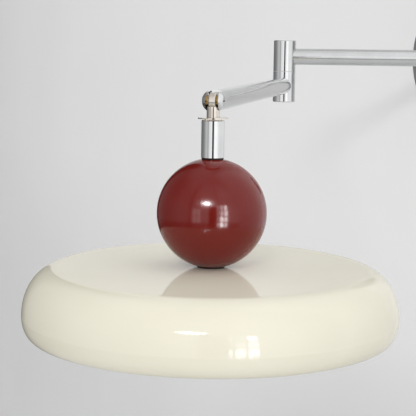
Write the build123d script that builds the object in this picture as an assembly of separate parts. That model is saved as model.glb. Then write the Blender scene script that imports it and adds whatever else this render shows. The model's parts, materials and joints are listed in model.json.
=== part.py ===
from build123d import *
import math
import os

# Plug-in wall lamp: wall plate, two swivelling arms, knuckle, ball and disc shade.
# Millimetres and degrees. The wall is the XZ plane, the lamp stands out along -Y and +Z is up.
# The origin is the centre of the wall plate's back. The arms rest as photographed.

# How the arms stand at rest
INNER_SWING = 24.3  # inner arm, from straight out of the wall towards -X
ELBOW_TURN = 77.9  # outer arm, from the inner arm's own line back towards +X

# Gaps and cuts
RUN_GAP = 0.05  # radial, round a pivot that turns
FIT_GAP = 0.02  # radial, round a piece that is fixed
PASS_GAP = 0.2  # radial, round a rod or screw that passes through
LAY_GAP = 0.3  # beside a lead that lies along a wall
CUT = 1.0  # how far a cut runs past the face it opens

# Wall plate and back plate
PLATE_DIAMETER = 120.0
PLATE_DEPTH = 22.0
PLATE_WALL = 1.5
PLATE_INNER_EDGE = 2.0
BACK_PLATE_THICKNESS = 2.0
BACK_PLATE_GAP = 0.4
WALL_SCREW_SPACING = 60.0
WALL_SCREW_HOLE = 4.5
TAB_WIDTH = 12.0
TAB_THICKNESS = 6.0
TAB_DEPTH = 12.0
COVER_SCREW_DIAMETER = 4.0
COVER_SCREW_RECESS = 0.4
SCREW_SLOT = 0.8

# Terminal block
TERMINAL_POLES = 3
TERMINAL_PITCH = 9.0
TERMINAL_DEPTH = 12.0
TERMINAL_HEIGHT = 15.0
TERMINAL_WIRE_HOLE = 3.0
TERMINAL_SCREW_DIAMETER = 3.4
TERMINAL_SCREW_LENGTH = 3.5

# Cord gland
GLAND_BORE = 6.4
GLAND_WALL = 1.3
GLAND_FLANGE = 2.0
GLAND_FLANGE_HEIGHT = 2.0
GLAND_LIP = 0.7
GLAND_LIP_HEIGHT = 1.4

# Arm tubes and their barrels
TUBE_DIAMETER = 16.0
TUBE_WALL = 1.2
INNER_REACH = 145.0  # wall pivot to elbow
OUTER_REACH = 349.0  # elbow to knuckle
BARREL_LIP = 3.0  # barrel's radius beyond the tube's
BARREL_EDGE = 0.8
PIVOT_DIAMETER = 10.0
SOCKET_LAND = 1.0  # metal between a pivot's bore and a tube's end
LEAD_DIAMETER = 5.0
LEAD_END_GAP = 2.0

# Wall pivot
WALL_BARREL_END = 7.25  # barrel above and below the tube
BRACKET_WEB = 5.0
BRACKET_GAP = 2.0
LUG_THICKNESS = 6.0
WALL_WASHER = 0.4
STUD_DIAMETER = 10.0
STUD_BORE = 6.0
STUD_END = 1.0
BRACKET_NUT_WIDTH = 16.0
BRACKET_NUT_HEIGHT = 5.0
PIN_HEAD_LIP = 3.0
PIN_HEAD_HEIGHT = 2.5
PIN_HEAD_EDGE = 0.8
PIN_SLOT = 1.6
PIN_NUT_WALL = 3.0
PIN_NUT_HEIGHT = 8.0
PIN_NUT_CROWN = 2.5

# Elbow
SEAM_LAND = 6.5  # from each tube to the seam between the barrels
ELBOW_WASHER = 0.4
WASHER_INSET = 0.4
SHAFT_BORE = 6.0
SHAFT_BELOW_AXIS = 2.0
SPRING_WASHER = 0.8
ELBOW_NUT_WIDTH = 14.0
ELBOW_NUT_HEIGHT = 3.0
ELBOW_NUT_ROOM = 0.6  # round the nut's corners
NUT_LAND = 2.2  # metal between the nut's pocket and the tube
CAP_THICKNESS = 1.5
CAP_GAP = 0.5

# Knuckle
BALL_END_LIP = 0.5  # ball end's radius beyond the tube's
TONGUE_THICKNESS = 5.7
TONGUE_INSET = 2.3  # tongue's radius below the ball end's
TONGUE_EDGE = 1.2
NECK_SIDE_GAP = 0.1  # between the neck and each ear
NECK_TOP_GAP = 0.2  # between the neck and the friction discs
NECK_EDGE = 0.6
NECK_BELOW_BALL = 3.6  # neck that shows below the ball end
FRICTION_DISC = 2.0
FRICTION_DISC_INSET = 2.6  # disc's radius below the tongue's
SLOT_END_GAP = 1.0
FORK_LAND = 3.0
SPIGOT_LENGTH = 12.0
FORK_LEAD_HOLE = 6.0
KNUCKLE_SCREW_DIAMETER = 4.0
KNUCKLE_HEAD_DIAMETER = 6.4
KNUCKLE_HEAD_HEIGHT = 1.6
EAR_LAND = 1.3
STEM_THREAD_DIAMETER = 8.0

# Lock nut and coupler
LOCK_NUT_DIAMETER = 22.4
LOCK_NUT_FLANGE = 0.9
COLLAR_DIAMETER = 15.2
COLLAR_HEIGHT = 0.95
COLLAR_TEETH = 28
TOOTH_DEPTH = 1.0
COUPLER_DIAMETER = 17.0
COUPLER_HEIGHT = 27.95
COUPLER_EDGE = 0.5
COUPLER_WEB = 4.0

# Ball and rod
BALL_DIAMETER = 81.5
BALL_WALL = 1.5
BALL_TOP_SEAT = 13.0
BALL_BOTTOM_SEAT = 21.0
UPPER_GASKET = 0.6
LOWER_GASKET = 1.0
GASKET_INSET = 0.3
ROD_DIAMETER = 10.0
ROD_BORE = 6.4
ROD_END = 1.5

# Shade
SHADE_DIAMETER = 280.0
SHADE_WALL = 1.0
SHOULDER_WIDTH = 26.0
SHOULDER_HEIGHT = 34.6
LIP_WIDTH = 8.0
LIP_HEIGHT = 15.0
LIP_FLANGE = 4.0
SHADE_WASHER_DIAMETER = 32.0
SHADE_WASHER_THICKNESS = 1.5
ROD_NUT_WIDTH = 17.0
SHADE_NUT_HEIGHT = 6.0
PLATE_NUT_HEIGHT = 4.0

# Lamps and diffuser
LAMP_COUNT = 3
LAMP_PLATE_DIAMETER = 140.0
LAMP_PLATE_THICKNESS = 1.5
HOLDER_RADIUS = 38.0
HOLDER_LENGTH = 18.0
HOLDER_WIDTH = 18.0
HOLDER_HEIGHT = 16.0
HOLDER_SOCKET = 4.0
CAPSULE_BASE_DIAMETER = 13.0
CAPSULE_BASE_LENGTH = 10.0
CAPSULE_DIAMETER = 15.0
CAPSULE_LENGTH = 32.0
LAMP_LEAD_DIAMETER = 2.4
STUD_RADIUS = 58.0
SPACER_DIAMETER = 7.0
SPACER_THREAD = 4.0
DIFFUSER_THICKNESS = 3.0
DIFFUSER_GAP = 0.8
DIFFUSER_RECESS = 0.6
THUMB_NUT_DIAMETER = 12.0
THUMB_NUT_HEIGHT = 5.0
THUMB_NUT_CROWN = 1.5
THUMB_NUT_ROOF = 1.5

# Worked out from the sizes above
plate_radius = PLATE_DIAMETER / 2
plate_bore = plate_radius - PLATE_WALL
back_radius = plate_bore - BACK_PLATE_GAP
tab_depth = BACK_PLATE_THICKNESS + TAB_DEPTH
screw_y = -(BACK_PLATE_THICKNESS + TAB_DEPTH / 2)
gland_y = -(BACK_PLATE_THICKNESS + PLATE_DEPTH) / 2
gland_radius = GLAND_BORE / 2 + GLAND_WALL

tube_radius = TUBE_DIAMETER / 2
tube_bore = tube_radius - TUBE_WALL
barrel_radius = tube_radius + BARREL_LIP
pivot_radius = PIVOT_DIAMETER / 2
socket_floor = pivot_radius + RUN_GAP + SOCKET_LAND
lead_radius = LEAD_DIAMETER / 2
lead_drop = tube_bore - lead_radius - LAY_GAP

wall_barrel_half = tube_radius + WALL_BARREL_END
lug_inner = wall_barrel_half + WALL_WASHER
lug_outer = lug_inner + LUG_THICKNESS
web_front = -(PLATE_DEPTH + BRACKET_WEB)
pivot_y = web_front - BRACKET_GAP - barrel_radius
stud_radius = STUD_DIAMETER / 2
stud_end_y = -PLATE_DEPTH + PLATE_WALL + BRACKET_NUT_HEIGHT + STUD_END

arm_to_seam = tube_radius + SEAM_LAND
nut_pocket = CAP_THICKNESS + CAP_GAP + ELBOW_NUT_HEIGHT + SPRING_WASHER
barrel_height = arm_to_seam + tube_radius + NUT_LAND + nut_pocket
nut_pocket_radius = ELBOW_NUT_WIDTH / math.sqrt(3) + ELBOW_NUT_ROOM
pocket_top = -barrel_height + nut_pocket
nut_bottom = -barrel_height + CAP_THICKNESS + CAP_GAP

ball_end_radius = tube_radius + BALL_END_LIP
tongue_radius = ball_end_radius - TONGUE_INSET
tongue_half = TONGUE_THICKNESS / 2
slot_half = tongue_half + FRICTION_DISC + RUN_GAP
slot_depth = tongue_radius + SLOT_END_GAP
disc_radius = tongue_radius - FRICTION_DISC_INSET
neck_radius = slot_half - NECK_SIDE_GAP
neck_top = -disc_radius - NECK_TOP_GAP
fork_neck = slot_depth + FORK_LAND
knuckle_screw_radius = KNUCKLE_SCREW_DIAMETER / 2
knuckle_head_radius = KNUCKLE_HEAD_DIAMETER / 2
ear_seat = slot_half + EAR_LAND
stem_thread_radius = STEM_THREAD_DIAMETER / 2

rod_radius = ROD_DIAMETER / 2
ball_radius = BALL_DIAMETER / 2
ball_top_rise = math.sqrt(ball_radius**2 - (BALL_TOP_SEAT / 2) ** 2)
ball_bottom_drop = math.sqrt(ball_radius**2 - (BALL_BOTTOM_SEAT / 2) ** 2)
coupler_insert = (COUPLER_HEIGHT - COUPLER_WEB) / 2

# Heights in the head, down from the knuckle's pivot
lock_nut_z = -(ball_end_radius + NECK_BELOW_BALL)
collar_z = lock_nut_z - LOCK_NUT_FLANGE
coupler_z = collar_z - COLLAR_HEIGHT
coupler_base_z = coupler_z - COUPLER_HEIGHT
ball_top_z = coupler_base_z - UPPER_GASKET
ball_z = ball_top_z - ball_top_rise
ball_base_z = ball_z - ball_bottom_drop
shade_z = ball_base_z - LOWER_GASKET
shade_washer_z = shade_z - SHADE_WALL
shade_nut_z = shade_washer_z - SHADE_WASHER_THICKNESS
lamp_plate_z = shade_nut_z - SHADE_NUT_HEIGHT
plate_nut_z = lamp_plate_z - LAMP_PLATE_THICKNESS
rod_base_z = plate_nut_z - PLATE_NUT_HEIGHT - ROD_END
lamp_z = plate_nut_z - HOLDER_HEIGHT / 2

shade_radius = SHADE_DIAMETER / 2
shade_height = SHOULDER_HEIGHT + LIP_HEIGHT
opening_radius = shade_radius - LIP_WIDTH - LIP_FLANGE
diffuser_base_z = shade_z - shade_height + DIFFUSER_RECESS
diffuser_z = diffuser_base_z + DIFFUSER_THICKNESS
spacer_thread_end_z = diffuser_base_z - THUMB_NUT_HEIGHT + THUMB_NUT_ROOF

# Where each body sits: x of an arm's frame runs along the arm, away from the wall
wall_frame = Location((0, 0, 0))
inner_frame = Location((0, pivot_y, 0), (0, 0, -90 - INNER_SWING))
elbow_frame = inner_frame * Pos(INNER_REACH, 0, -arm_to_seam)
elbow_outer_frame = elbow_frame * Rot(0, 0, ELBOW_TURN)
outer_frame = elbow_outer_frame * Pos(0, 0, -arm_to_seam)
head_frame = outer_frame * Pos(OUTER_REACH, 0, 0)


def rod(radius, start, end, axis="Z"):
    """A cylinder along an axis through the origin, from one coordinate to another."""
    turns = {"X": Rot(0, 90, 0), "Y": Rot(90, 0, 0), "Z": Rot(0, 0, 0)}
    middle = (start + end) / 2
    places = {"X": Pos(middle, 0, 0), "Y": Pos(0, middle, 0), "Z": Pos(0, 0, middle)}
    return places[axis] * turns[axis] * Cylinder(radius, abs(end - start))


def ring(radius, bore, start, end, axis="Z"):
    """A cylinder with a bore right through."""
    low = min(start, end) - CUT
    high = max(start, end) + CUT
    return rod(radius, start, end, axis) - rod(bore, low, high, axis)


def block(xs, ys, zs):
    """A box between two coordinates on each axis."""
    spans = [abs(pair[1] - pair[0]) for pair in (xs, ys, zs)]
    middle = [sum(pair) / 2 for pair in (xs, ys, zs)]
    return Pos(*middle) * Box(*spans)


def nut(width, height, bore, top):
    """A hexagonal nut on the z axis, hanging down from its top face."""
    flats = RegularPolygon(width / 2, 6, major_radius=False)
    return Pos(0, 0, top - height) * extrude(flats, height) - rod(bore, top - height - CUT, top + CUT)


def around(count, piece, start=0.0):
    """Copies of a piece turned evenly about the z axis, as separate solids."""
    return Compound([Rot(0, 0, start + 360 * i / count) * piece for i in range(count)])


def rounded_end(piece, radius, top):
    """The rim of a turned piece's top or bottom face, rounded."""
    rims = piece.edges().filter_by(GeomType.CIRCLE).sort_by(Axis.Z)
    return fillet(rims[-1] if top else rims[0], radius)


# Wall plate and what it covers


def wall_plate():
    outer_edge = PLATE_INNER_EDGE + PLATE_WALL
    shell = rod(plate_radius, 0, -PLATE_DEPTH, "Y")
    shell = fillet(shell.edges().filter_by(GeomType.CIRCLE).sort_by(Axis.Y)[0], outer_edge)
    hollow = rod(plate_bore, CUT, -PLATE_DEPTH + PLATE_WALL, "Y")
    hollow = fillet(hollow.edges().filter_by(GeomType.CIRCLE).sort_by(Axis.Y)[0], PLATE_INNER_EDGE)
    stud_hole = rod(stud_radius + FIT_GAP, 0, -PLATE_DEPTH - CUT, "Y")
    gland_hole = Pos(0, gland_y, 0) * rod(gland_radius + FIT_GAP, -plate_radius - CUT, 0)
    return shell - hollow - stud_hole - gland_hole - cover_screw_holes()


def cover_screw_holes():
    reach = plate_radius + CUT
    return Pos(0, screw_y, 0) * rod(COVER_SCREW_DIAMETER / 2 + FIT_GAP, -reach, reach, "X")


def back_plate():
    plate = rod(back_radius, 0, -BACK_PLATE_THICKNESS, "Y")
    ends = rod(back_radius, 0, -tab_depth, "Y") - block(
        (TAB_THICKNESS - back_radius, back_radius - TAB_THICKNESS),
        (-tab_depth - CUT, CUT),
        (-back_radius, back_radius),
    )
    tabs = ends & block((-back_radius, back_radius), (-tab_depth, 0), (-TAB_WIDTH / 2, TAB_WIDTH / 2))
    plate = plate + tabs - cover_screw_holes()
    for side in (-1, 1):
        hole = rod(WALL_SCREW_HOLE / 2, CUT, -BACK_PLATE_THICKNESS - CUT, "Y")
        plate -= Pos(side * WALL_SCREW_SPACING / 2, 0, 0) * hole
    return plate


def cover_screws():
    head = plate_radius - COVER_SCREW_RECESS
    screw = Pos(0, screw_y, 0) * rod(COVER_SCREW_DIAMETER / 2, back_radius - TAB_THICKNESS, head, "X")
    slot = block(
        (head - SCREW_SLOT, head + CUT),
        (screw_y - SCREW_SLOT / 2, screw_y + SCREW_SLOT / 2),
        (-COVER_SCREW_DIAMETER, COVER_SCREW_DIAMETER),
    )
    screw -= slot
    return Compound([screw, mirror(screw, about=Plane.YZ)])


def terminal_places():
    first = -(TERMINAL_POLES - 1) / 2
    return [(first + i) * TERMINAL_PITCH for i in range(TERMINAL_POLES)]


def terminal_block():
    half_width = TERMINAL_POLES * TERMINAL_PITCH / 2
    back = -BACK_PLATE_THICKNESS
    middle = -back_radius / 2
    body = block(
        (-half_width, half_width),
        (back, back - TERMINAL_DEPTH),
        (middle - TERMINAL_HEIGHT / 2, middle + TERMINAL_HEIGHT / 2),
    )
    for x in terminal_places():
        wire = rod(TERMINAL_WIRE_HOLE / 2, middle - TERMINAL_HEIGHT, middle + TERMINAL_HEIGHT)
        body -= Pos(x, back - TERMINAL_DEPTH / 2, 0) * wire
        for row in (-1, 1):
            body -= terminal_screw_place(x, row) * terminal_screw(TERMINAL_SCREW_DIAMETER / 2 + FIT_GAP)
    return body


def terminal_screw_place(x, row):
    return Pos(x, -BACK_PLATE_THICKNESS - TERMINAL_DEPTH, -back_radius / 2 + row * TERMINAL_HEIGHT / 4)


def terminal_screw(radius):
    return rod(radius, 0, TERMINAL_SCREW_LENGTH, "Y")


def terminal_screws():
    slot = block(
        (-TERMINAL_SCREW_DIAMETER, TERMINAL_SCREW_DIAMETER),
        (-CUT, SCREW_SLOT),
        (-SCREW_SLOT / 2, SCREW_SLOT / 2),
    )
    screw = terminal_screw(TERMINAL_SCREW_DIAMETER / 2) - slot
    places = [terminal_screw_place(x, row) for x in terminal_places() for row in (-1, 1)]
    return Compound([place * screw for place in places])


def cord_gland():
    lip_radius = gland_radius + GLAND_LIP
    lip_base = FIT_GAP - math.sqrt(plate_bore**2 - lip_radius**2)
    top = lip_base + GLAND_LIP_HEIGHT
    bottom = -plate_radius - GLAND_FLANGE_HEIGHT
    flange = rod(gland_radius + GLAND_FLANGE, bottom, 0)
    flange -= Pos(0, -gland_y, 0) * rod(plate_radius + FIT_GAP, CUT, -PLATE_DEPTH - CUT, "Y")
    body = flange + rod(gland_radius, bottom, top) + rod(lip_radius, lip_base, top)
    return Pos(0, gland_y, 0) * (body - rod(GLAND_BORE / 2, bottom - CUT, top + CUT))


# Wall pivot


def pivot_bracket():
    bracket = block((-barrel_radius, barrel_radius), (-PLATE_DEPTH, web_front), (-lug_outer, lug_outer))
    for side in (-1, 1):
        heights = (side * lug_inner, side * lug_outer)
        lug = block((-barrel_radius, barrel_radius), (-PLATE_DEPTH, pivot_y), heights)
        bracket += lug + Pos(0, pivot_y, 0) * rod(barrel_radius, *heights)
    bracket += rod(stud_radius, -PLATE_DEPTH, stud_end_y, "Y")
    bracket -= Pos(0, pivot_y, 0) * rod(pivot_radius + FIT_GAP, -lug_outer - CUT, lug_outer + CUT)
    return bracket - rod(STUD_BORE / 2, stud_end_y + CUT, web_front - CUT, "Y")


def bracket_nut():
    piece = nut(BRACKET_NUT_WIDTH, BRACKET_NUT_HEIGHT, stud_radius + FIT_GAP, 0)
    return Pos(0, -PLATE_DEPTH + PLATE_WALL, 0) * Rot(90, 0, 0) * piece


def wall_pin():
    pin = rod(pivot_radius, -lug_outer - PIN_NUT_HEIGHT + PIN_NUT_CROWN, lug_outer)
    head = rod(pivot_radius + PIN_HEAD_LIP, lug_outer, lug_outer + PIN_HEAD_HEIGHT)
    pin += rounded_end(head, PIN_HEAD_EDGE, True)
    reach = pivot_radius + PIN_HEAD_LIP + CUT
    top = lug_outer + PIN_HEAD_HEIGHT
    slot = block((-reach, reach), (-PIN_SLOT / 2, PIN_SLOT / 2), (top - SCREW_SLOT, top + CUT))
    return Pos(0, pivot_y, 0) * (pin - slot)


def wall_pin_nut():
    base = -lug_outer - PIN_NUT_HEIGHT
    cap = rounded_end(rod(pivot_radius + PIN_NUT_WALL, base, -lug_outer), PIN_NUT_CROWN, False)
    return Pos(0, pivot_y, 0) * (cap - rod(pivot_radius + FIT_GAP, base + PIN_NUT_CROWN, CUT - lug_outer))


def wall_washers():
    washer = ring(barrel_radius - WASHER_INSET, pivot_radius + RUN_GAP, wall_barrel_half, lug_inner)
    return Pos(0, pivot_y, 0) * Compound([washer, mirror(washer, about=Plane.XY)])


# Inner arm, with x along the arm from the wall pivot


def tube_socket(direction, height=0.0):
    """The room that a tube's end takes in a barrel, towards +x or -x."""
    room = rod(tube_radius + FIT_GAP, direction * socket_floor, direction * (barrel_radius + CUT), "X")
    return Pos(0, 0, height) * room


def arm_tube(start, end):
    return ring(tube_radius, tube_bore, start, end, "X")


def arm_lead(start, end):
    return Pos(0, 0, -lead_drop) * rod(lead_radius, start + LEAD_END_GAP, end - LEAD_END_GAP, "X")


def wall_barrel():
    barrel = ring(barrel_radius, pivot_radius + RUN_GAP, -wall_barrel_half, wall_barrel_half)
    return barrel - tube_socket(1)


def inner_tube():
    return arm_tube(socket_floor, INNER_REACH - socket_floor)


def inner_lead():
    return arm_lead(socket_floor, INNER_REACH - socket_floor)


# Elbow, with z from the seam between the two barrels


def elbow_upper_barrel():
    barrel = rounded_end(rod(barrel_radius, ELBOW_WASHER / 2, barrel_height), BARREL_EDGE, True)
    barrel -= rod(pivot_radius + FIT_GAP, -CUT, arm_to_seam - SHAFT_BELOW_AXIS)
    return barrel - tube_socket(-1, arm_to_seam)


def elbow_lower_barrel():
    barrel = rounded_end(rod(barrel_radius, -barrel_height, -ELBOW_WASHER / 2), BARREL_EDGE, False)
    barrel -= rod(pivot_radius + RUN_GAP, -barrel_height - CUT, CUT)
    barrel -= rod(nut_pocket_radius, -barrel_height - CUT, pocket_top)
    return barrel - tube_socket(1, -arm_to_seam)


def elbow_washer():
    radius = barrel_radius - WASHER_INSET
    return ring(radius, pivot_radius + RUN_GAP, -ELBOW_WASHER / 2, ELBOW_WASHER / 2)


def elbow_shaft():
    return ring(pivot_radius, SHAFT_BORE / 2, nut_bottom, arm_to_seam - SHAFT_BELOW_AXIS)


def elbow_spring_washer():
    return ring(ELBOW_NUT_WIDTH / 2, pivot_radius + FIT_GAP, pocket_top - SPRING_WASHER, pocket_top)


def elbow_nut():
    return nut(ELBOW_NUT_WIDTH, ELBOW_NUT_HEIGHT, pivot_radius + FIT_GAP, pocket_top - SPRING_WASHER)


def elbow_cap():
    return rod(nut_pocket_radius - FIT_GAP, -barrel_height, -barrel_height + CAP_THICKNESS)


# Outer arm, with x along the arm from the elbow


def outer_tube():
    return arm_tube(socket_floor, OUTER_REACH - fork_neck)


def outer_lead():
    return arm_lead(socket_floor, OUTER_REACH - fork_neck - SPIGOT_LENGTH)


# Knuckle and head, with the knuckle's pivot along y and x on from the outer arm


def knuckle_fork():
    spigot_end = -fork_neck - SPIGOT_LENGTH
    fork = Sphere(ball_end_radius) + rod(tube_radius, -fork_neck, 0, "X")
    fork += rod(tube_bore - FIT_GAP, spigot_end, -fork_neck, "X")
    reach = ball_end_radius + CUT
    fork -= block((-slot_depth, reach), (-slot_half, slot_half), (-reach, reach))
    fork -= rod(knuckle_screw_radius + FIT_GAP, -reach, reach, "Y")
    for side in (-1, 1):
        fork -= rod(knuckle_head_radius + PASS_GAP, side * ear_seat, side * reach, "Y")
    return fork - rod(FORK_LEAD_HOLE / 2, spigot_end - CUT, 0, "X")


def knuckle_screw():
    top = ear_seat + KNUCKLE_HEAD_HEIGHT
    screw = rod(knuckle_screw_radius, -top, ear_seat, "Y") + rod(knuckle_head_radius, ear_seat, top, "Y")
    slot = block(
        (-knuckle_head_radius - CUT, knuckle_head_radius + CUT),
        (top - SCREW_SLOT, top + CUT),
        (-SCREW_SLOT / 2, SCREW_SLOT / 2),
    )
    return screw - slot


def knuckle_nut():
    bore = knuckle_screw_radius + FIT_GAP
    return ring(knuckle_head_radius, bore, -ear_seat, -ear_seat - KNUCKLE_HEAD_HEIGHT, "Y")


def friction_discs():
    bore = knuckle_screw_radius + RUN_GAP
    disc = ring(disc_radius, bore, slot_half - FRICTION_DISC, slot_half, "Y")
    return Compound([disc, mirror(disc, about=Plane.XZ)])


def knuckle_tongue():
    tongue = rod(tongue_radius, -tongue_half, tongue_half, "Y")
    tongue = fillet(tongue.edges().filter_by(GeomType.CIRCLE), TONGUE_EDGE)
    tongue += rounded_end(rod(neck_radius, lock_nut_z, neck_top), NECK_EDGE, True)
    tongue += rod(stem_thread_radius, coupler_z - coupler_insert, lock_nut_z)
    return tongue - rod(knuckle_screw_radius + RUN_GAP, -ball_end_radius, ball_end_radius, "Y")


def lock_nut():
    tip = COLLAR_DIAMETER / 2
    points = []
    for i in range(2 * COLLAR_TEETH):
        radius = tip if i % 2 else tip - TOOTH_DEPTH
        angle = math.pi * i / COLLAR_TEETH
        points.append((radius * math.cos(angle), radius * math.sin(angle)))
    collar = Pos(0, 0, coupler_z) * extrude(Polygon(*points, align=None), COLLAR_HEIGHT)
    flange = rod(LOCK_NUT_DIAMETER / 2, collar_z, lock_nut_z)
    return flange + collar - rod(stem_thread_radius + FIT_GAP, coupler_z - CUT, lock_nut_z + CUT)


def coupler():
    sleeve = rod(COUPLER_DIAMETER / 2, coupler_base_z, coupler_z)
    sleeve = chamfer(sleeve.edges().filter_by(GeomType.CIRCLE), COUPLER_EDGE)
    sleeve -= rod(stem_thread_radius + FIT_GAP, coupler_z - coupler_insert, coupler_z + CUT)
    sleeve -= rod(rod_radius + FIT_GAP, coupler_base_z - CUT, coupler_base_z + coupler_insert)
    return sleeve - rod(ROD_BORE / 2, coupler_base_z, coupler_z)


def upper_gasket():
    return ring(COUPLER_DIAMETER / 2 - GASKET_INSET, rod_radius + PASS_GAP, ball_top_z, coupler_base_z)


def lower_gasket():
    return ring(BALL_BOTTOM_SEAT / 2 - GASKET_INSET, rod_radius + PASS_GAP, shade_z, ball_base_z)


def ball():
    between_seats = rod(ball_radius, -ball_bottom_drop, ball_top_rise)
    inside = rod(ball_radius, BALL_WALL - ball_bottom_drop, ball_top_rise - BALL_WALL)
    shell = (Sphere(ball_radius) & between_seats) - (Sphere(ball_radius - BALL_WALL) & inside)
    return Pos(0, 0, ball_z) * (shell - rod(rod_radius + PASS_GAP, -ball_radius, ball_radius))


def threaded_rod():
    return ring(rod_radius, ROD_BORE / 2, rod_base_z, coupler_base_z + coupler_insert)


def head_lead():
    aside = ROD_BORE / 2 - lead_radius - LAY_GAP
    return Pos(aside, 0, 0) * rod(lead_radius, rod_base_z, coupler_base_z + coupler_insert)


# Shade, lamps and diffuser


def shade_curves(inset):
    """The shoulder and the lower lip of the shade's section, moved inwards by an inset."""
    flat = shade_radius - SHOULDER_WIDTH
    lip = shade_radius - LIP_WIDTH
    equator = -SHOULDER_HEIGHT
    shoulder = EllipticalCenterArc((flat, equator), SHOULDER_WIDTH - inset, SHOULDER_HEIGHT - inset)
    lower = EllipticalCenterArc((lip, equator), LIP_WIDTH - inset, LIP_HEIGHT - inset, start_angle=270)
    return shoulder, lower


def shade():
    shoulder, lower = shade_curves(0)
    inner_shoulder, inner_lower = shade_curves(SHADE_WALL)
    hole = rod_radius + PASS_GAP
    edge = Wire(
        [
            Line((hole, 0), shoulder @ 1),
            shoulder,
            lower,
            Line(lower @ 0, (opening_radius, -shade_height)),
            Line((opening_radius, -shade_height), (opening_radius, SHADE_WALL - shade_height)),
            Line((opening_radius, SHADE_WALL - shade_height), inner_lower @ 0),
            inner_lower,
            inner_shoulder,
            Line(inner_shoulder @ 1, (hole, -SHADE_WALL)),
            Line((hole, -SHADE_WALL), (hole, 0)),
        ]
    )
    section = Plane.XZ * make_face(edge)
    return Pos(0, 0, shade_z) * revolve(section, Axis.Z)


def shade_washer():
    return ring(SHADE_WASHER_DIAMETER / 2, rod_radius + PASS_GAP, shade_nut_z, shade_washer_z)


def shade_nut():
    return nut(ROD_NUT_WIDTH, SHADE_NUT_HEIGHT, rod_radius + FIT_GAP, shade_nut_z)


def lamp_plate():
    return ring(LAMP_PLATE_DIAMETER / 2, rod_radius + PASS_GAP, plate_nut_z, lamp_plate_z)


def plate_nut():
    return nut(ROD_NUT_WIDTH, PLATE_NUT_HEIGHT, rod_radius + FIT_GAP, plate_nut_z)


def lamp_holders():
    outer_end = HOLDER_RADIUS + HOLDER_LENGTH / 2
    body = block(
        (HOLDER_RADIUS - HOLDER_LENGTH / 2, outer_end),
        (-HOLDER_WIDTH / 2, HOLDER_WIDTH / 2),
        (plate_nut_z - HOLDER_HEIGHT, plate_nut_z),
    )
    socket = rod(CAPSULE_BASE_DIAMETER / 2 + PASS_GAP, outer_end - HOLDER_SOCKET, outer_end + CUT, "X")
    return around(LAMP_COUNT, body - Pos(0, 0, lamp_z) * socket)


def lamp_capsules():
    base_start = HOLDER_RADIUS + HOLDER_LENGTH / 2 - HOLDER_SOCKET
    base_end = base_start + CAPSULE_BASE_LENGTH
    glass_end = base_end + CAPSULE_LENGTH
    capsule = rod(CAPSULE_BASE_DIAMETER / 2, base_start, base_end, "X")
    capsule += rod(CAPSULE_DIAMETER / 2, base_end, glass_end, "X")
    capsule += Pos(glass_end, 0, 0) * Sphere(CAPSULE_DIAMETER / 2)
    return around(LAMP_COUNT, Pos(0, 0, lamp_z) * capsule)


def lamp_leads():
    radius = LAMP_LEAD_DIAMETER / 2
    start = ROD_NUT_WIDTH / math.sqrt(3) + LAY_GAP
    lead = rod(radius, start, HOLDER_RADIUS - HOLDER_LENGTH / 2, "X")
    return around(LAMP_COUNT, Pos(0, 0, plate_nut_z - radius - LAY_GAP) * lead)


def between_lamps(piece):
    """Copies of a piece on the spacer circle, half way between the lamps."""
    return around(LAMP_COUNT, Pos(STUD_RADIUS, 0, 0) * piece, 180 / LAMP_COUNT)


def diffuser_spacers():
    spacer = rod(SPACER_DIAMETER / 2, diffuser_z, plate_nut_z)
    return between_lamps(spacer + rod(SPACER_THREAD / 2, spacer_thread_end_z, diffuser_z))


def diffuser():
    disc = rod(opening_radius - DIFFUSER_GAP, diffuser_base_z, diffuser_z)
    hole = rod(SPACER_THREAD / 2 + PASS_GAP, diffuser_base_z - CUT, diffuser_z + CUT)
    return disc - between_lamps(hole)


def thumb_nuts():
    base = diffuser_base_z - THUMB_NUT_HEIGHT
    knob = rounded_end(rod(THUMB_NUT_DIAMETER / 2, base, diffuser_base_z), THUMB_NUT_CROWN, False)
    thread = rod(SPACER_THREAD / 2 + FIT_GAP, spacer_thread_end_z, diffuser_base_z + CUT)
    return between_lamps(knob - thread)


# Every piece, in the frame that it is drawn in
pieces = {
    wall_plate: wall_frame,
    back_plate: wall_frame,
    cover_screws: wall_frame,
    terminal_block: wall_frame,
    terminal_screws: wall_frame,
    cord_gland: wall_frame,
    pivot_bracket: wall_frame,
    bracket_nut: wall_frame,
    wall_pin: wall_frame,
    wall_pin_nut: wall_frame,
    wall_washers: wall_frame,
    wall_barrel: inner_frame,
    inner_tube: inner_frame,
    inner_lead: inner_frame,
    elbow_upper_barrel: elbow_frame,
    elbow_shaft: elbow_frame,
    elbow_washer: elbow_frame,
    elbow_spring_washer: elbow_frame,
    elbow_nut: elbow_frame,
    elbow_lower_barrel: elbow_outer_frame,
    elbow_cap: elbow_outer_frame,
    outer_tube: outer_frame,
    outer_lead: outer_frame,
    knuckle_fork: head_frame,
    knuckle_screw: head_frame,
    knuckle_nut: head_frame,
    friction_discs: head_frame,
    knuckle_tongue: head_frame,
    lock_nut: head_frame,
    coupler: head_frame,
    upper_gasket: head_frame,
    ball: head_frame,
    lower_gasket: head_frame,
    threaded_rod: head_frame,
    head_lead: head_frame,
    shade: head_frame,
    shade_washer: head_frame,
    shade_nut: head_frame,
    lamp_plate: head_frame,
    plate_nut: head_frame,
    lamp_holders: head_frame,
    lamp_capsules: head_frame,
    lamp_leads: head_frame,
    diffuser_spacers: head_frame,
    diffuser: head_frame,
    thumb_nuts: head_frame,
}

os.makedirs("parts", exist_ok=True)
for make, frame in pieces.items():
    export_step(frame * make(), f"parts/{make.__name__}.step")
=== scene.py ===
import json
import math

import bpy
from mathutils import Matrix, Vector

# Plug-in wall lamp: chrome swing arms, a burgundy ball and a cream disc shade, lit by a soft room.
# Metres, in the CAD frame: the wall is the XZ plane, the lamp stands out along -Y and +Z is up.

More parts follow.
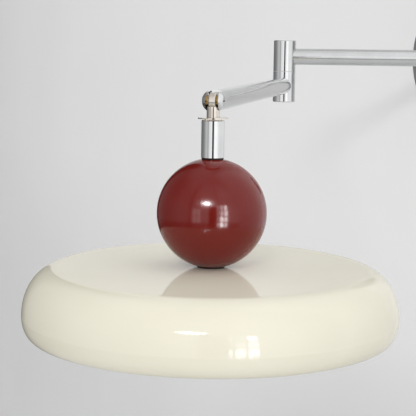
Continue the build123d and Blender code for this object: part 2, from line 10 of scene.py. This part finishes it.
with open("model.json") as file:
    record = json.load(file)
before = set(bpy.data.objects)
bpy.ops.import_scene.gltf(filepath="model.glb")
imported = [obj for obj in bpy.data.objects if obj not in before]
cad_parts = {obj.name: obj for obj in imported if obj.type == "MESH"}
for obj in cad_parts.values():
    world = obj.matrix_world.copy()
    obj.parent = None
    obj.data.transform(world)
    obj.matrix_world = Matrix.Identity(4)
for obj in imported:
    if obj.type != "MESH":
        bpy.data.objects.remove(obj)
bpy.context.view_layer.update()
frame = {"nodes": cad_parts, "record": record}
nodes = frame["nodes"]

# Camera
CAMERA_PLACE = (1.0582, -0.7652, 0.0146)
CAMERA_TURN = 65.42  # degrees from straight at the wall
CAMERA_PITCH = 7.58  # degrees down
CAMERA_ROLL = 0.8  # degrees
LENS = 108.8  # millimetres
SENSOR_WIDTH = 36.0  # millimetres

# Surfaces: scales of the noise are per metre
PLAIN_DETAIL = 3.0
FINE_DETAIL = 5.0
SOFT_DETAIL = 2.0
NUMBER_SPAN = (0.3, 0.7)  # the part of a noise that a number's range is stretched over
COLOUR_SPAN = (0.35, 0.65)  # the part of a noise that two colours are blended over
METAL_CLOUDS = 45.0
METAL_SMEARS = 110.0
PAINT_CLOUDS = 14.0
PAINT_SMEARS = 70.0
PAINT_PEEL = 260.0
PAINT_ROUGHNESS = (0.32, 0.40)
COAT_IOR = 1.4
PLASTIC_CLOUDS = 60.0
PLASTIC_SMEARS = 150.0
GLASS_CLOUDS = 80.0
GLASS_FROST = 400.0
GLASS_ROUGHNESS = (0.3, 0.5)
GLASS_CLEARNESS = 0.6
PLASTER_CLOUDS = 3.0
PLASTER_SMEARS = 40.0
PLASTER_ROUGHNESS = (0.75, 0.85)
PLASTER_GLOSS = 0.2

# Wall, floor and dark card, with the two greys that each varies between
WALL_GAP = 0.0005  # wall behind the plate
WALL_ENDS = (-1.95, 0.8)
WALL_HEIGHT = 6.0
WALL_GREYS = (0.80, 0.82)
FLOOR_DROP = 1.3
FLOOR_ENDS = (-14.0, 14.0)
FLOOR_GREYS = (0.735, 0.75)
CARD_BEARING = 2.0
CARD_DISTANCE = 1.05
CARD_SIZE = (0.30, 0.80)
CARD_GREYS = (0.02, 0.04)

# The wall's painted light: a faint glow in place of the room's uneven light on it. For the camera it is
# darker to the left. For gloss it is brightest to the right and dim behind the arms, as a painted
# reflection: (X, level) stops
SEEN_PAINTED_LIGHT = [(-1.8, 0.06), (-1.15, 0.13), (-0.4, 0.155), (-0.1, 0.145), (0.8, 0.12)]
GLOSS_PAINTED_LIGHT = [
    (-1.8, 0.08), (-0.6, 0.23), (-0.4, 0.18), (-0.25, 0.03), (-0.05, 0.03), (0.1, 0.52), (0.4, 0.46),
]
# The heights where each painted glow starts and is full, and its share below them, so the wall's painted
# light grows darker towards the bottom
SEEN_FADE = (-0.60, -0.20, 0.45)
GLOSS_FADE = (-0.45, 0.0, 0.0)

# The room that gloss shows and the soft room that lights the rest: (degrees, level) stops, by the bearing
# from the camera, positive to its right, and by the height
ROOM_BEARINGS = [
    (-180, 0.02), (-152, 0.02), (-147, 0.15), (-130, 0.17), (-112, 0.18), (-95, 0.25), (-81, 0.39),
    (-69, 0.50), (-52, 0.50), (-49, 0.32), (-45, 0.32), (-42, 0.64), (-26, 0.82), (-10, 0.88), (8, 0.78),
    (13, 0.76), (20, 1.06), (36, 1.02), (54, 0.86), (77, 0.70), (120, 0.60), (180, 0.55),
]
ROOM_HEIGHTS = [
    (-90, 0.75), (-40, 0.80), (-30, 0.62), (-22, 0.34), (-16, 0.36), (-10, 0.95), (14, 1.0), (22, 0.88),
    (35, 0.86), (60, 0.92), (90, 0.88),
]
ROOM_STRENGTH = 1.5
PLAIN_HEIGHTS = [(-90, 1.0), (-42, 1.0), (-26, 0.0), (45, 0.0), (78, 1.0)]  # where the bearings give way
PLAIN_ROOM = (0.6, 0.6, 0.6, 1.0)  # what they give way to
SOFT_BEARINGS = [(-180, 0.66), (-90, 0.48), (-20, 0.71), (24, 0.96), (60, 1.16), (120, 1.18), (180, 0.94)]
SOFT_HEIGHTS = [(-90, 0.75), (0, 1.0), (90, 0.92)]
SOFT_STRENGTH = 1.12
PALE_ROOM = (0.76, 0.76, 0.765, 1.0)  # what the camera sees past the wall and the floor

# Lights, by bearing and height in degrees from the head, with powers in watts
HEAD_PLACE = Vector((0.2212, -0.3793, -0.13))  # what the lights point at
KEY_BEARING = -11.5
KEY_HEIGHT = 27.0
KEY_DISTANCE = 2.35
KEY_SIZE = (0.85, 0.43)
KEY_POWER = 15.4
SOFTBOX_DISTANCE = 2.2
SOFTBOX_STEP = 0.03  # between layers, as lights at one place would take light from each other
SOFTBOXES = {  # the size and the power of each layer
    "ball": [((0.46, 0.20), 16.0), ((0.78, 0.34), 10.0), ((1.25, 0.52), 6.0), ((1.9, 0.9), 3.6)],
    "shade": [((0.40, 0.14), 7.0), ((0.70, 0.24), 5.0)],
}
WINDOW_HEIGHT = 1.0
BALL_PANES = [(0.7, 2.2, 5.0), (0.6, 3.0, 5.4), (0.9, 6.4, 5.8), (1.8, 8.0, 4.2)]
DIM_BALL_PANES = [(1.0, 1.1), (0.9, 1.0)]
SHADE_PANES = [(0.9, 0.3, 3.2), (0.1, 0.7, 2.2), (1.8, 2.6, 3.3), (1.2, 1.6, 2.0)]

# Sockets of a colour mix, which share their names with those of other mixes
MIX_FACTOR = 0
MIX_FIRST = 6
MIX_SECOND = 7
MIX_RESULT = 2

camera_turn = math.radians(CAMERA_TURN)
backward = Vector((math.sin(camera_turn), -math.cos(camera_turn), 0.0))
rightward = Vector((-backward.y, backward.x, 0.0))


# Node helpers


def new_material(name):
    """A material with its node tree and its shader."""
    material = bpy.data.materials.new(name)
    material.use_nodes = True
    tree = material.node_tree
    return material, tree, tree.nodes["Principled BSDF"]


def add(tree, kind, inputs=None, **settings):
    """A node of that kind, with its settings and the values of its inputs."""
    node = tree.nodes.new(kind)
    for key, value in settings.items():
        setattr(node, key, value)
    for key, value in (inputs or {}).items():
        node.inputs[key].default_value = value
    return node


def feed(tree, value, socket):
    """Sets a socket to a number or a colour, or links another node's output to it."""
    if isinstance(value, bpy.types.NodeSocket):
        tree.links.new(value, socket)
    else:
        socket.default_value = value


def noise(tree, scale, detail=PLAIN_DETAIL):
    """Noise over an object's own metres."""
    texture = add(tree, "ShaderNodeTexNoise", {"Scale": scale, "Detail": detail})
    tree.links.new(add(tree, "ShaderNodeTexCoord").outputs["Object"], texture.inputs["Vector"])
    return texture.outputs["Fac"]


def spread(tree, factor, low, high, socket):
    """A noise's middle part stretched from low to high, into a number socket."""
    start, end = NUMBER_SPAN
    limits = {"From Min": start, "From Max": end, "To Min": low, "To Max": high}
    span = add(tree, "ShaderNodeMapRange", limits)
    tree.links.new(factor, span.inputs["Value"])
    tree.links.new(span.outputs["Result"], socket)


def tint(tree, factor, low, high, socket):
    """A noise's middle part as a blend of two colours, into a colour socket."""
    ramp = add(tree, "ShaderNodeValToRGB")
    for element, position, colour in zip(ramp.color_ramp.elements, COLOUR_SPAN, (low, high)):
        element.position = position
        element.color = (*colour, 1.0)
    tree.links.new(factor, ramp.inputs["Fac"])
    tree.links.new(ramp.outputs["Color"], socket)


def roughen(tree, shader, factor, height):
    """A bump of that height, in metres, on a shader's normal and on its coat's."""
    bump = add(tree, "ShaderNodeBump", {"Strength": 1.0, "Distance": height})
    tree.links.new(factor, bump.inputs["Height"])
    tree.links.new(bump.outputs["Normal"], shader.inputs["Normal"])
    tree.links.new(bump.outputs["Normal"], shader.inputs["Coat Normal"])


def math_node(tree, operation, first, second):
    """The result of an operation on two numbers or outputs."""
    node = add(tree, "ShaderNodeMath", operation=operation)
    feed(tree, first, node.inputs[0])
    feed(tree, second, node.inputs[1])
    return node.outputs["Value"]


def ramp_node(tree, factor, stops):
    """A colour ramp through (position, grey level) stops."""
    ramp = add(tree, "ShaderNodeValToRGB")
    elements = ramp.color_ramp.elements
    while len(elements) < len(stops):
        elements.new(1.0)
    for element, (position, level) in zip(elements, stops):
        element.position = position
        element.color = (level, level, level, 1.0)
    tree.links.new(factor, ramp.inputs["Fac"])
    return ramp.outputs["Color"]


def mix_colours(tree, factor, first, second, blend_type):
    """Two colours, mixed or multiplied."""
    mix = add(tree, "ShaderNodeMix", data_type="RGBA", blend_type=blend_type)
    feed(tree, factor, mix.inputs[MIX_FACTOR])
    feed(tree, first, mix.inputs[MIX_FIRST])
    feed(tree, second, mix.inputs[MIX_SECOND])
    return mix.outputs[MIX_RESULT]


def mix_shaders(tree, factor, first, second):
    """The first shader, and the second where the factor is one."""
    mix = add(tree, "ShaderNodeMixShader")
    for output, socket in zip((factor, first, second), mix.inputs):
        tree.links.new(output, socket)
    return mix.outputs["Shader"]


def share(value, low, high):
    """How far a value lies on the way from low to high."""
    return (value - low) / (high - low)


# Materials: each varies between two colours


def metal(name, low, high, roughness, grain, bump):
    """A metal whose colour and roughness vary a little, with a fine grain of that bump."""
    material, tree, shader = new_material(name)
    shader.inputs["Metallic"].default_value = 1.0
    tint(tree, noise(tree, METAL_CLOUDS), low, high, shader.inputs["Base Color"])
    spread(tree, noise(tree, METAL_SMEARS, FINE_DETAIL), *roughness, shader.inputs["Roughness"])
    roughen(tree, shader, noise(tree, grain, SOFT_DETAIL), bump)
    return material


def enamel(name, low, high, coat, blur, peel):
    """Paint under a clear coat of that weight and blur, with a faint orange peel."""
    material, tree, shader = new_material(name)
    tint(tree, noise(tree, PAINT_CLOUDS, SOFT_DETAIL), low, high, shader.inputs["Base Color"])
    spread(tree, noise(tree, PAINT_SMEARS), *PAINT_ROUGHNESS, shader.inputs["Roughness"])
    shader.inputs["Coat Weight"].default_value = coat
    shader.inputs["Coat Roughness"].default_value = blur
    shader.inputs["Coat IOR"].default_value = COAT_IOR
    shader.inputs["Specular IOR Level"].default_value = 0.0
    roughen(tree, shader, noise(tree, PAINT_PEEL, SOFT_DETAIL), peel)
    return material


def plastic(name, low, high, roughness, grain, bump):
    """Moulded plastic, rubber or ceramic with a fine grain of that bump."""
    material, tree, shader = new_material(name)
    tint(tree, noise(tree, PLASTIC_CLOUDS), low, high, shader.inputs["Base Color"])
    spread(tree, noise(tree, PLASTIC_SMEARS), *roughness, shader.inputs["Roughness"])
    roughen(tree, shader, noise(tree, grain), bump)
    return material


def frosted(name, low, high):
    """Glass with a frosting that lets part of the light through."""
    material, tree, shader = new_material(name)
    tint(tree, noise(tree, GLASS_CLOUDS), low, high, shader.inputs["Base Color"])
    spread(tree, noise(tree, GLASS_FROST), *GLASS_ROUGHNESS, shader.inputs["Roughness"])
    shader.inputs["Transmission Weight"].default_value = GLASS_CLEARNESS
    return material


chrome = metal("chrome", (0.62, 0.625, 0.63), (0.68, 0.685, 0.69), (0.03, 0.07), 700.0, 4e-7)
drawn_chrome = metal("drawn_chrome", (0.61, 0.615, 0.62), (0.66, 0.665, 0.67), (0.12, 0.17), 600.0, 1e-6)
warm_nickel = metal("warm_nickel", (0.62, 0.57, 0.51), (0.76, 0.73, 0.69), (0.10, 0.20), 900.0, 2e-6)
# Brass, darkened below its own colour to the shade in the knuckle's gaps where the discs sit: painted shade
brass = metal("brass", (0.38, 0.24, 0.09), (0.50, 0.34, 0.14), (0.22, 0.34), 900.0, 3e-6)
zinc_steel = metal("zinc_steel", (0.53, 0.54, 0.55), (0.61, 0.62, 0.63), (0.26, 0.42), 1500.0, 4e-6)
burgundy = enamel("burgundy_enamel", (0.150, 0.0090, 0.0060), (0.160, 0.0110, 0.0078), 1.0, 0.13, 1.2e-6)
cream = enamel("cream_enamel", (0.80, 0.765, 0.635), (0.82, 0.785, 0.655), 0.85, 0.05, 1.6e-6)
white_enamel = enamel("white_enamel", (0.80, 0.80, 0.78), (0.86, 0.86, 0.84), 0.8, 0.05, 1.6e-6)
rubber = plastic("black_rubber", (0.012, 0.012, 0.012), (0.03, 0.03, 0.03), (0.6, 0.8), 2500.0, 2e-5)
nylon = plastic("nylon", (0.68, 0.67, 0.62), (0.76, 0.75, 0.71), (0.4, 0.5), 2500.0, 4e-6)
black_plastic = plastic("black_plastic", (0.02, 0.02, 0.02), (0.04, 0.04, 0.04), (0.4, 0.55), 1800.0, 1e-5)
white_plastic = plastic("white_plastic", (0.74, 0.74, 0.71), (0.82, 0.82, 0.79), (0.35, 0.5), 1800.0, 6e-6)
ceramic = plastic("ceramic", (0.78, 0.77, 0.72), (0.86, 0.85, 0.81), (0.5, 0.7), 1600.0, 1e-5)
opal = plastic("opal", (0.83, 0.83, 0.80), (0.85, 0.85, 0.82), (0.18, 0.26), 2200.0, 3e-6)
glass = frosted("frosted_glass", (0.90, 0.90, 0.87), (0.95, 0.95, 0.93))

slot_materials = {
    "chrome": chrome,
    "warm_nickel": warm_nickel,
    "brass": brass,
    "zinc_steel": zinc_steel,
    "white_enamel": white_enamel,
    "burgundy_enamel": burgundy,
    "cream_enamel": cream,
    "black_rubber": rubber,
    "nylon": nylon,
    "black_plastic": black_plastic,
    "white_plastic": white_plastic,
    "white_lead": white_plastic,
    "ceramic": ceramic,
    "frosted_glass": glass,
    "opal": opal,
}
for part in frame["record"]["subparts"]:
    nodes[part["node"]].data.materials[0] = slot_materials[part["material_slot"]]
for tube in ("inner_tube", "outer_tube"):
    nodes[tube].data.materials[0] = drawn_chrome


# Backdrop: a pale wall and a pale floor, which show from their fronts only


def sheet(name, corners):
    """A flat sheet beside the lamp, whose front is where its corners run anticlockwise."""
    mesh = bpy.data.meshes.new(name)
    mesh.from_pydata(corners, [], [(0, 1, 2, 3)])
    thing = bpy.data.objects.new(name, mesh)
    bpy.context.scene.collection.objects.link(thing)
    return thing


def plaster(name, greys):
    """A matt paint between two greys, with its node tree and its shader."""
    material, tree, shader = new_material(name)
    low, high = [(grey, grey, grey) for grey in greys]
    tint(tree, noise(tree, PLASTER_CLOUDS), low, high, shader.inputs["Base Color"])
    spread(tree, noise(tree, PLASTER_SMEARS), *PLASTER_ROUGHNESS, shader.inputs["Roughness"])
    shader.inputs["Specular IOR Level"].default_value = PLASTER_GLOSS
    return material, tree, shader


def clear_back(tree, shader):
    """Makes a sheet's back clear, so that a view from behind it shows the lamp."""
    behind = add(tree, "ShaderNodeNewGeometry").outputs["Backfacing"]
    clear = add(tree, "ShaderNodeBsdfTransparent").outputs["BSDF"]
    either = mix_shaders(tree, behind, shader.outputs["BSDF"], clear)
    tree.links.new(either, tree.nodes["Material Output"].inputs["Surface"])


wall_left, wall_right = WALL_ENDS
wall_top = WALL_HEIGHT - FLOOR_DROP
wall_corners = [
    (wall_right, WALL_GAP, -FLOOR_DROP),
    (wall_right, WALL_GAP, wall_top),
    (wall_left, WALL_GAP, wall_top),
    (wall_left, WALL_GAP, -FLOOR_DROP),
]
wall = sheet("wall", wall_corners)
wall_paint, wall_tree, wall_shader = plaster("wall_paint", WALL_GREYS)
clear_back(wall_tree, wall_shader)
wall_point = add(wall_tree, "ShaderNodeSeparateXYZ")
wall_tree.links.new(add(wall_tree, "ShaderNodeTexCoord").outputs["Object"], wall_point.inputs["Vector"])
along_wall = add(wall_tree, "ShaderNodeMapRange", {"From Min": wall_left, "From Max": wall_right})
wall_tree.links.new(wall_point.outputs["X"], along_wall.inputs["Value"])
wall_path = add(wall_tree, "ShaderNodeLightPath")


def painted_wall_light(levels, fade, ray):
    """Painted light on the wall: glow levels along it, fading downwards, where a kind of ray meets it."""
    stops = [(share(x, *WALL_ENDS), level) for x, level in levels]
    glow = ramp_node(wall_tree, along_wall.outputs["Result"], stops)
    start, full, least = fade
    fading = add(wall_tree, "ShaderNodeMapRange", {"From Min": start, "From Max": full, "To Min": least})
    wall_tree.links.new(wall_point.outputs["Z"], fading.inputs["Value"])
    glow = math_node(wall_tree, "MULTIPLY", glow, fading.outputs["Result"])
    return math_node(wall_tree, "MULTIPLY", glow, wall_path.outputs[ray])


# The wall glows with painted light for the camera and in gloss, though it is no lamp
seen_painted_light = painted_wall_light(SEEN_PAINTED_LIGHT, SEEN_FADE, "Is Camera Ray")
gloss_painted_light = painted_wall_light(GLOSS_PAINTED_LIGHT, GLOSS_FADE, "Is Glossy Ray")
painted_light_sum = math_node(wall_tree, "ADD", seen_painted_light, gloss_painted_light)
wall_tree.links.new(painted_light_sum, wall_shader.inputs["Emission Strength"])
wall_shader.inputs["Emission Color"].default_value = (1.0, 1.0, 1.0, 1.0)
wall.data.materials.append(wall_paint)
wall_paint.cycles.emission_sampling = "NONE"
wall.visible_shadow = False

near, far = FLOOR_ENDS
floor_corners = [
    (near, near, -FLOOR_DROP),
    (far, near, -FLOOR_DROP),
    (far, far, -FLOOR_DROP),
    (near, far, -FLOOR_DROP),
]
floor = sheet("floor", floor_corners)
floor_paint, floor_tree, floor_shader = plaster("floor_paint", FLOOR_GREYS)
clear_back(floor_tree, floor_shader)
floor.data.materials.append(floor_paint)
floor.visible_glossy = False


# World: pale where the camera sees it, a drawn room in gloss, and a soft room as the light on the rest


def rise(angle):
    """A height in degrees as a share of the world's height."""
    return math.sin(math.radians(angle)) / 2 + 0.5


world = bpy.data.worlds.new("room")
bpy.context.scene.world = world
world.use_nodes = True
world_tree = world.node_tree
join = world_tree.links.new
camera_bearing = math.atan2(backward.y, backward.x)
turned = add(world_tree, "ShaderNodeMapping", {"Rotation": (0.0, 0.0, -camera_bearing)}, vector_type="POINT")
join(add(world_tree, "ShaderNodeTexCoord").outputs["Generated"], turned.inputs["Vector"])
way = add(world_tree, "ShaderNodeSeparateXYZ")
join(turned.outputs["Vector"], way.inputs["Vector"])

# The bearing and the height of a direction, each as a share of its whole range
bearing = math_node(world_tree, "ARCTAN2", way.outputs["Y"], way.outputs["X"])
bearing = math_node(world_tree, "MULTIPLY", bearing, 1 / (2 * math.pi))
bearing = math_node(world_tree, "ADD", bearing, 0.5)
height = math_node(world_tree, "MULTIPLY", way.outputs["Z"], 0.5)
height = math_node(world_tree, "ADD", height, 0.5)


def around(stops):
    """Levels by bearing."""
    return ramp_node(world_tree, bearing, [(share(angle, -180, 180), level) for angle, level in stops])


def upward(stops):
    """Levels by height."""
    return ramp_node(world_tree, height, [(rise(angle), level) for angle, level in stops])


def world_light(level, strength):
    """Light of that level or colour from the world."""
    source = add(world_tree, "ShaderNodeBackground", {"Strength": strength})
    feed(world_tree, level, source.inputs["Color"])
    return source.outputs["Background"]


room_level = mix_colours(world_tree, upward(PLAIN_HEIGHTS), around(ROOM_BEARINGS), PLAIN_ROOM, "MIX")
room_level = mix_colours(world_tree, 1.0, room_level, upward(ROOM_HEIGHTS), "MULTIPLY")
soft_level = mix_colours(world_tree, 1.0, upward(SOFT_HEIGHTS), around(SOFT_BEARINGS), "MULTIPLY")
room = world_light(room_level, ROOM_STRENGTH)
soft = world_light(soft_level, SOFT_STRENGTH)
pale = world_light(PALE_ROOM, 1.0)
world_path = add(world_tree, "ShaderNodeLightPath")
unseen = mix_shaders(world_tree, world_path.outputs["Is Glossy Ray"], soft, room)
world_shader = mix_shaders(world_tree, world_path.outputs["Is Camera Ray"], unseen, pale)
world_output = next(node for node in world_tree.nodes if node.type == "OUTPUT_WORLD")
join(world_shader, world_output.inputs["Surface"])


# Lights: a key light for all, and its softboxes and the windows as the gloss of one node shows them


def aim(bearing_deg, height_deg):
    """The unit vector from the head towards a bearing and a height."""
    sideways = math.radians(bearing_deg)
    up = math.radians(height_deg)
    level = backward * math.cos(sideways) + rightward * math.sin(sideways)
    return level * math.cos(up) + Vector((0.0, 0.0, math.sin(up)))


def area_light(name, place, target, size, power, shape):
    """An area light of that width and height, facing its target."""
    lamp = bpy.data.lights.new(name, "AREA")
    lamp.shape = shape
    lamp.size, lamp.size_y = size
    lamp.energy = power
    thing = bpy.data.objects.new(name, lamp)
    bpy.context.scene.collection.objects.link(thing)
    facing = (target - place).to_track_quat("-Z", "Y").to_matrix().to_4x4()
    thing.matrix_world = Matrix.Translation(place) @ facing
    return thing


def gloss_light(node, name, place, target, size, power, shape):
    """An area light that shows in one node's gloss alone."""
    thing = area_light(f"{node}_{name}", place, target, size, power, shape)
    thing.visible_diffuse = False
    receivers = bpy.data.collections.new(f"{node}_{name}")
    receivers.objects.link(nodes[node])
    thing.light_linking.receiver_collection = receivers


def window(node, name, bearing_deg, distance, pane, bar, powers):
    """Panes of light with bars between them, facing the head: a power for each, from the top row."""
    middle = HEAD_PLACE + aim(bearing_deg, WINDOW_HEIGHT) * distance
    inward = HEAD_PLACE - middle
    pane_side = aim(bearing_deg + 90.0, 0.0)
    pane_rise = pane_side.cross(inward.normalized())
    for row, row_powers in enumerate(powers):
        for column, power in enumerate(row_powers):
            sideways = (column - (len(row_powers) - 1) / 2) * (pane[0] + bar)
            lowered = (row - (len(powers) - 1) / 2) * (pane[1] + bar)
            place = middle + pane_side * sideways - pane_rise * lowered
            gloss_light(node, f"{name}_{row}_{column}", place, place + inward, pane, power, "RECTANGLE")


window("ball", "window", 20.7, distance=2.2, pane=(0.26, 0.38), bar=0.07, powers=BALL_PANES)
window("ball", "dim_window", -31.0, distance=2.4, pane=(0.36, 0.56), bar=0.05, powers=DIM_BALL_PANES)
window("shade", "window", 16.7, distance=2.2, pane=(0.225, 0.38), bar=0.06, powers=SHADE_PANES)
key_way = aim(KEY_BEARING, KEY_HEIGHT)
for node, layers in SOFTBOXES.items():
    for number, (size, power) in enumerate(layers):
        place = HEAD_PLACE + key_way * (SOFTBOX_DISTANCE + SOFTBOX_STEP * number)
        gloss_light(node, f"softbox_{number}", place, HEAD_PLACE, size, power, "ELLIPSE")
key_place = HEAD_PLACE + key_way * KEY_DISTANCE
key_light = area_light("key_light", key_place, HEAD_PLACE, KEY_SIZE, KEY_POWER, "ELLIPSE")
key_light.visible_glossy = False

# A dark card beside the camera, which only gloss shows
card_middle = HEAD_PLACE + aim(CARD_BEARING, 0.0) * CARD_DISTANCE
card_side = aim(CARD_BEARING + 90.0, 0.0) * CARD_SIZE[0] / 2
card_rise = Vector((0.0, 0.0, CARD_SIZE[1] / 2))
card_corners = [
    card_middle - card_side - card_rise,
    card_middle + card_side - card_rise,
    card_middle + card_side + card_rise,
    card_middle - card_side + card_rise,
]
card = sheet("dark_card", card_corners)
card_paint = plaster("card_paint", CARD_GREYS)[0]
card.data.materials.append(card_paint)
card.visible_camera = False
card.visible_diffuse = False
card.visible_shadow = False


# Camera

pitch = math.radians(CAMERA_PITCH)
forward = -backward * math.cos(pitch) - Vector((0.0, 0.0, math.sin(pitch)))
camera = bpy.data.objects.new("camera", bpy.data.cameras.new("camera"))
bpy.context.scene.collection.objects.link(camera)
camera.data.lens = LENS
camera.data.sensor_width = SENSOR_WIDTH
turn = forward.to_track_quat("-Z", "Y").to_matrix().to_4x4()
roll = Matrix.Rotation(math.radians(CAMERA_ROLL), 4, "Z")
camera.matrix_world = Matrix.Translation(CAMERA_PLACE) @ turn @ roll
bpy.context.scene.camera = camera
bpy.context.scene.view_settings.view_transform = "Standard"
